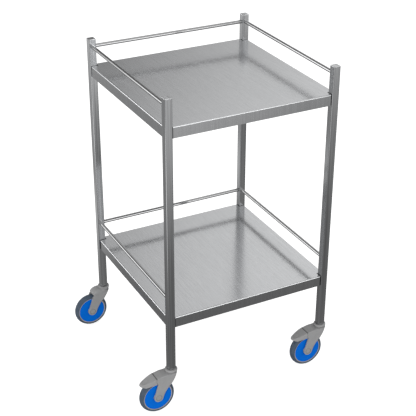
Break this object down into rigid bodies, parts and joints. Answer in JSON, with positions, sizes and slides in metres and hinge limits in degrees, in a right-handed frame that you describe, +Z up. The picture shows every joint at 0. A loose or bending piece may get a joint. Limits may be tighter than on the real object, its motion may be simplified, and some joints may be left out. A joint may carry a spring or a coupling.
{
  "type": "dressing trolley",
  "caption": "Stainless steel dressing trolley with flat shelves between square posts, guard rails round the shelves and swivel castors with brake pedals.",
  "frame": {"origin": "on the floor under the middle of the bounding box, with all castors trailing towards -X", "axes": "+Z up; +Y towards the back, where a rail closes the shelves, so the open side without rails faces -Y; +X to the right when looking at the open side"},
  "size_m": [0.581, 0.504, 0.9],
  "materials": {
    "stainless": "satin brushed",
    "stainless_polished": "polished",
    "zinc_steel": "bright zinc plated",
    "bush_plastic": "matte",
    "fork_plastic": "satin moulded nylon",
    "rim_plastic": "satin moulded nylon",
    "cover_plastic": "satin",
    "tyre_rubber": "matte"
  },
  "bodies": {
    "frame": {"front_left_post": "stainless", "front_left_post_cap": "stainless", "front_right_post": "stainless", "front_right_post_cap": "stainless", "rear_left_post": "stainless", "rear_left_post_cap": "stainless", "rear_right_post": "stainless", "rear_right_post_cap": "stainless", "top_shelf": "stainless", "top_left_rail": "stainless_polished", "top_right_rail": "stainless_polished", "top_back_rail": "stainless_polished", "lower_shelf": "stainless", "lower_left_rail": "stainless_polished", "lower_right_rail": "stainless_polished", "lower_back_rail": "stainless_polished", "front_left_castor_bush": "bush_plastic", "front_left_castor_stem": "zinc_steel", "front_right_castor_bush": "bush_plastic", "front_right_castor_stem": "zinc_steel", "rear_left_castor_bush": "bush_plastic", "rear_left_castor_stem": "zinc_steel", "rear_right_castor_bush": "bush_plastic", "rear_right_castor_stem": "zinc_steel"},
    "front_left_castor": {"front_left_fork": "fork_plastic", "front_left_swivel_bearing": "zinc_steel", "front_left_axle": "fork_plastic", "front_left_pedal_pin": "zinc_steel"},
    "front_left_wheel": {"front_left_rim": "rim_plastic", "front_left_wheel_covers": "cover_plastic", "front_left_tyre": "tyre_rubber", "front_left_wheel_bearings": "zinc_steel"},
    "front_left_pedal": {"front_left_brake_pedal": "fork_plastic", "front_left_brake_shoe": "tyre_rubber"},
    "front_right_castor": {"front_right_fork": "fork_plastic", "front_right_swivel_bearing": "zinc_steel", "front_right_axle": "fork_plastic", "front_right_pedal_pin": "zinc_steel"},
    "front_right_wheel": {"front_right_rim": "rim_plastic", "front_right_wheel_covers": "cover_plastic", "front_right_tyre": "tyre_rubber", "front_right_wheel_bearings": "zinc_steel"},
    "front_right_pedal": {"front_right_brake_pedal": "fork_plastic", "front_right_brake_shoe": "tyre_rubber"},
    "rear_left_castor": {"rear_left_fork": "fork_plastic", "rear_left_swivel_bearing": "zinc_steel", "rear_left_axle": "fork_plastic"},
    "rear_left_wheel": {"rear_left_rim": "rim_plastic", "rear_left_wheel_covers": "cover_plastic", "rear_left_tyre": "tyre_rubber", "rear_left_wheel_bearings": "zinc_steel"},
    "rear_right_castor": {"rear_right_fork": "fork_plastic", "rear_right_swivel_bearing": "zinc_steel", "rear_right_axle": "fork_plastic"},
    "rear_right_wheel": {"rear_right_rim": "rim_plastic", "rear_right_wheel_covers": "cover_plastic", "rear_right_tyre": "tyre_rubber", "rear_right_wheel_bearings": "zinc_steel"}
  },
  "joints": [
    {"name": "front_left_swivel", "type": "hinge", "parent": "frame", "child": "front_left_castor", "pos_m": [-0.1965, -0.235, 0.115], "axis": [0, 0, 1], "continuous": true},
    {"name": "front_left_wheel_spin", "type": "hinge", "parent": "front_left_castor", "child": "front_left_wheel", "pos_m": [-0.2405, -0.235, 0.05], "axis": [0, 1, 0], "continuous": true},
    {"name": "front_left_pedal_hinge", "type": "hinge", "parent": "front_left_castor", "child": "front_left_pedal", "pos_m": [-0.2305, -0.235, 0.1055], "axis": [0, -1, 0], "range_deg": [0, 8]},
    {"name": "front_right_swivel", "type": "hinge", "parent": "frame", "child": "front_right_castor", "pos_m": [0.2735, -0.235, 0.115], "axis": [0, 0, 1], "continuous": true},
    {"name": "front_right_wheel_spin", "type": "hinge", "parent": "front_right_castor", "child": "front_right_wheel", "pos_m": [0.2295, -0.235, 0.05], "axis": [0, 1, 0], "continuous": true},
    {"name": "front_right_pedal_hinge", "type": "hinge", "parent": "front_right_castor", "child": "front_right_pedal", "pos_m": [0.2395, -0.235, 0.1055], "axis": [0, -1, 0], "range_deg": [0, 8]},
    {"name": "rear_left_swivel", "type": "hinge", "parent": "frame", "child": "rear_left_castor", "pos_m": [-0.1965, 0.235, 0.115], "axis": [0, 0, 1], "continuous": true},
    {"name": "rear_left_wheel_spin", "type": "hinge", "parent": "rear_left_castor", "child": "rear_left_wheel", "pos_m": [-0.2405, 0.235, 0.05], "axis": [0, 1, 0], "continuous": true},
    {"name": "rear_right_swivel", "type": "hinge", "parent": "frame", "child": "rear_right_castor", "pos_m": [0.2735, 0.235, 0.115], "axis": [0, 0, 1], "continuous": true},
    {"name": "rear_right_wheel_spin", "type": "hinge", "parent": "rear_right_castor", "child": "rear_right_wheel", "pos_m": [0.2295, 0.235, 0.05], "axis": [0, 1, 0], "continuous": true}
  ]
}
